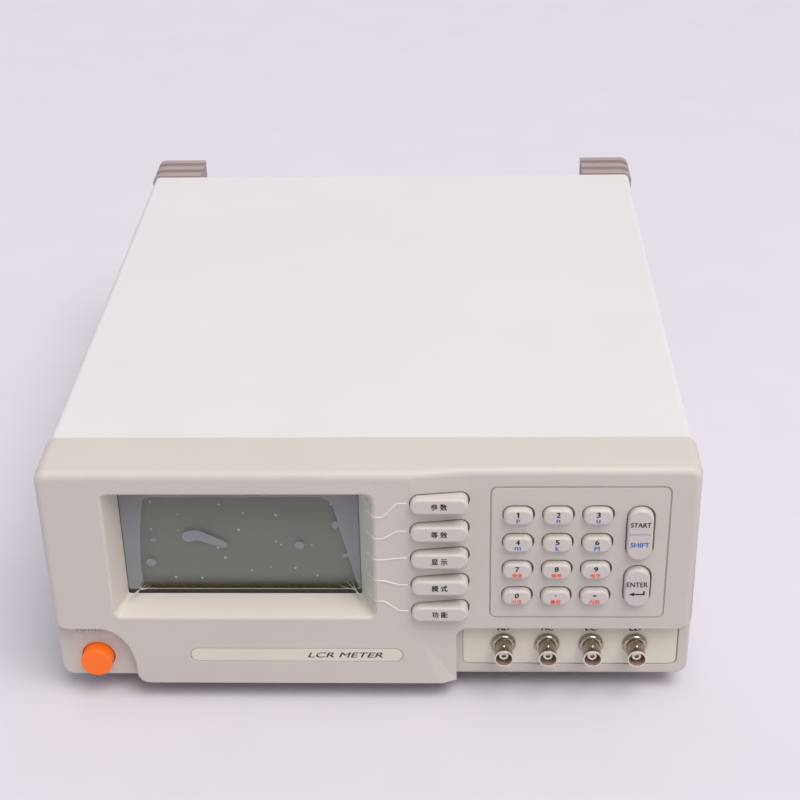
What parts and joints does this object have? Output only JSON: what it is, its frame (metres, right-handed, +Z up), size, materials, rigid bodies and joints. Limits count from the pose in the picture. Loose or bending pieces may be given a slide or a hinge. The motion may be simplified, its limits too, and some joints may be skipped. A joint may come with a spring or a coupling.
{
  "type": "bench lcr meter",
  "caption": "Bench component meter: white steel case, moulded front bezel with display window, soft keys, keypad, orange power button and coaxial sockets.",
  "frame": {"origin": "on the surface the meter stands on, under the centre of its bounding box", "axes": "+Z up, +Y towards the back, +X to the right seen from the front"},
  "size_m": [0.355, 0.45, 0.152],
  "materials": {
    "bezel_plastic": "fine moulded texture, warm light grey",
    "key_plastic": "satin moulded plastic with printed legends",
    "button_plastic": "satin orange moulding",
    "painted_steel": "off-white baked powder paint, fine orange-peel",
    "zinc_steel": "zinc-plated sheet",
    "nickel": "bright nickel plate",
    "white_insulator": "white polymer",
    "label_film": "cream printed label film",
    "clear_plastic": "clear sheet",
    "liquid_crystal": "unlit greenish grey glass",
    "foot_plastic": "warm grey moulded plastic",
    "rubber": "matt black rubber",
    "black_plastic": "black moulded plastic",
    "circuit_board": "green solder mask",
    "laminated_steel": "varnished steel laminations"
  },
  "bodies": {
    "case": {"front_bezel": "bezel_plastic", "top_cover": "painted_steel", "rear_panel": "painted_steel", "chassis_pan": "zinc_steel", "front_subpanel": "zinc_steel", "shield_can": "zinc_steel", "interface_port": "zinc_steel", "bnc_socket_1": "nickel", "bnc_socket_2": "nickel", "bnc_socket_3": "nickel", "bnc_socket_4": "nickel", "bnc_nut_1": "nickel", "bnc_nut_2": "nickel", "bnc_nut_3": "nickel", "bnc_nut_4": "nickel", "earth_terminal": "nickel", "bnc_insulator_1": "white_insulator", "bnc_insulator_2": "white_insulator", "bnc_insulator_3": "white_insulator", "bnc_insulator_4": "white_insulator", "nameplate": "label_film", "terminal_plate": "label_film", "protective_film": "clear_plastic", "display_window": "clear_plastic", "lcd_module": "liquid_crystal", "rear_foot_upper_left": "foot_plastic", "rear_foot_upper_right": "foot_plastic", "rear_foot_lower_left": "foot_plastic", "rear_foot_lower_right": "foot_plastic", "base_foot_front_left": "rubber", "base_foot_front_right": "rubber", "base_foot_rear_left": "rubber", "base_foot_rear_right": "rubber", "power_switch": "black_plastic", "power_inlet": "black_plastic", "fuse_holder": "black_plastic", "key_board": "circuit_board", "main_board": "circuit_board", "transformer": "laminated_steel"},
    "function_key_1": {"function_key_1": "key_plastic"},
    "function_key_2": {"function_key_2": "key_plastic"},
    "function_key_3": {"function_key_3": "key_plastic"},
    "function_key_4": {"function_key_4": "key_plastic"},
    "function_key_5": {"function_key_5": "key_plastic"},
    "key_1": {"key_1": "key_plastic"},
    "key_2": {"key_2": "key_plastic"},
    "key_3": {"key_3": "key_plastic"},
    "key_4": {"key_4": "key_plastic"},
    "key_5": {"key_5": "key_plastic"},
    "key_6": {"key_6": "key_plastic"},
    "key_7": {"key_7": "key_plastic"},
    "key_8": {"key_8": "key_plastic"},
    "key_9": {"key_9": "key_plastic"},
    "key_0": {"key_0": "key_plastic"},
    "key_point": {"key_point": "key_plastic"},
    "key_sign": {"key_sign": "key_plastic"},
    "start_shift_key": {"start_shift_key": "key_plastic"},
    "enter_key": {"enter_key": "key_plastic"},
    "power_button": {"power_button": "button_plastic"}
  },
  "joints": [
    {"name": "function_key_1_press", "type": "slide", "parent": "case", "child": "function_key_1", "axis": [0, 1, 0], "range_m": [0, 0.0012], "stiffness_N_per_m": 800},
    {"name": "function_key_2_press", "type": "slide", "parent": "case", "child": "function_key_2", "axis": [0, 1, 0], "range_m": [0, 0.0012], "stiffness_N_per_m": 800},
    {"name": "function_key_3_press", "type": "slide", "parent": "case", "child": "function_key_3", "axis": [0, 1, 0], "range_m": [0, 0.0012], "stiffness_N_per_m": 800},
    {"name": "function_key_4_press", "type": "slide", "parent": "case", "child": "function_key_4", "axis": [0, 1, 0], "range_m": [0, 0.0012], "stiffness_N_per_m": 800},
    {"name": "function_key_5_press", "type": "slide", "parent": "case", "child": "function_key_5", "axis": [0, 1, 0], "range_m": [0, 0.0012], "stiffness_N_per_m": 800},
    {"name": "key_1_press", "type": "slide", "parent": "case", "child": "key_1", "axis": [0, 1, 0], "range_m": [0, 0.0012], "stiffness_N_per_m": 800},
    {"name": "key_2_press", "type": "slide", "parent": "case", "child": "key_2", "axis": [0, 1, 0], "range_m": [0, 0.0012], "stiffness_N_per_m": 800},
    {"name": "key_3_press", "type": "slide", "parent": "case", "child": "key_3", "axis": [0, 1, 0], "range_m": [0, 0.0012], "stiffness_N_per_m": 800},
    {"name": "key_4_press", "type": "slide", "parent": "case", "child": "key_4", "axis": [0, 1, 0], "range_m": [0, 0.0012], "stiffness_N_per_m": 800},
    {"name": "key_5_press", "type": "slide", "parent": "case", "child": "key_5", "axis": [0, 1, 0], "range_m": [0, 0.0012], "stiffness_N_per_m": 800},
    {"name": "key_6_press", "type": "slide", "parent": "case", "child": "key_6", "axis": [0, 1, 0], "range_m": [0, 0.0012], "stiffness_N_per_m": 800},
    {"name": "key_7_press", "type": "slide", "parent": "case", "child": "key_7", "axis": [0, 1, 0], "range_m": [0, 0.0012], "stiffness_N_per_m": 800},
    {"name": "key_8_press", "type": "slide", "parent": "case", "child": "key_8", "axis": [0, 1, 0], "range_m": [0, 0.0012], "stiffness_N_per_m": 800},
    {"name": "key_9_press", "type": "slide", "parent": "case", "child": "key_9", "axis": [0, 1, 0], "range_m": [0, 0.0012], "stiffness_N_per_m": 800},
    {"name": "key_0_press", "type": "slide", "parent": "case", "child": "key_0", "axis": [0, 1, 0], "range_m": [0, 0.0012], "stiffness_N_per_m": 800},
    {"name": "key_point_press", "type": "slide", "parent": "case", "child": "key_point", "axis": [0, 1, 0], "range_m": [0, 0.0012], "stiffness_N_per_m": 800},
    {"name": "key_sign_press", "type": "slide", "parent": "case", "child": "key_sign", "axis": [0, 1, 0], "range_m": [0, 0.0012], "stiffness_N_per_m": 800},
    {"name": "start_shift_key_press", "type": "slide", "parent": "case", "child": "start_shift_key", "axis": [0, 1, 0], "range_m": [0, 0.0012], "stiffness_N_per_m": 800},
    {"name": "enter_key_press", "type": "slide", "parent": "case", "child": "enter_key", "axis": [0, 1, 0], "range_m": [0, 0.0012], "stiffness_N_per_m": 800},
    {"name": "power_button_press", "type": "slide", "parent": "case", "child": "power_button", "axis": [0, 1, 0], "range_m": [0, 0.004], "stiffness_N_per_m": 1000}
  ]
}
